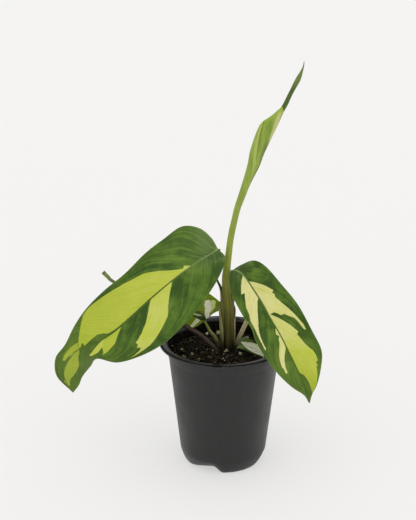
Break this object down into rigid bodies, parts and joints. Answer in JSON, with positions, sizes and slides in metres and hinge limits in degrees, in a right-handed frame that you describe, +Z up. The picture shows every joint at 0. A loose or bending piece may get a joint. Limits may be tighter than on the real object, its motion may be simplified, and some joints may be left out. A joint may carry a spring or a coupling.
{
  "type": "potted ctenanthe",
  "caption": "Young variegated ctenanthe in a plain round nursery pot: a rolled new leaf, broad drooping leaves and small low leaves rising from dark potting mix.",
  "frame": {"origin": "centre of the flat disc under the pot, the level the pot stands on", "axes": "+Z up along the pot's axis, -Y towards the plant's front, +X to the right seen from the front"},
  "size_m": [0.2321, 0.1174, 0.361],
  "materials": {
    "pot": "dark grey, slightly glossy moulded plastic",
    "soil": "near-black potting mix with pale grains; fabric stands in for loose organic matter",
    "leaf": "dark green leaf with yellow-green areas; leather stands in for leaf tissue",
    "leaf_pale": "pale yellow-green leaf; leather stands in for leaf tissue",
    "stalk": "olive green to purple-brown stalk; leather stands in for plant tissue",
    "sheath": "light olive leaf sheath; leather stands in for plant tissue",
    "old_stalk": "dull brown cut stalk; wood stands in for dry plant tissue"
  },
  "bodies": {
    "root": {"pot": "pot", "soil": "soil", "sheath": "sheath", "stalk_left": "stalk", "stalk_rolled": "stalk", "stalk_right": "stalk", "stalk_small_left": "stalk", "stalk_small_right": "stalk", "stub_left": "old_stalk", "stub_right": "old_stalk", "leaf_left": "leaf", "leaf_right": "leaf", "leaf_small_left": "leaf_pale", "leaf_small_right": "leaf", "leaf_rolled": "leaf_pale", "leaf_small_curled": "leaf"}
  },
  "joints": []
}
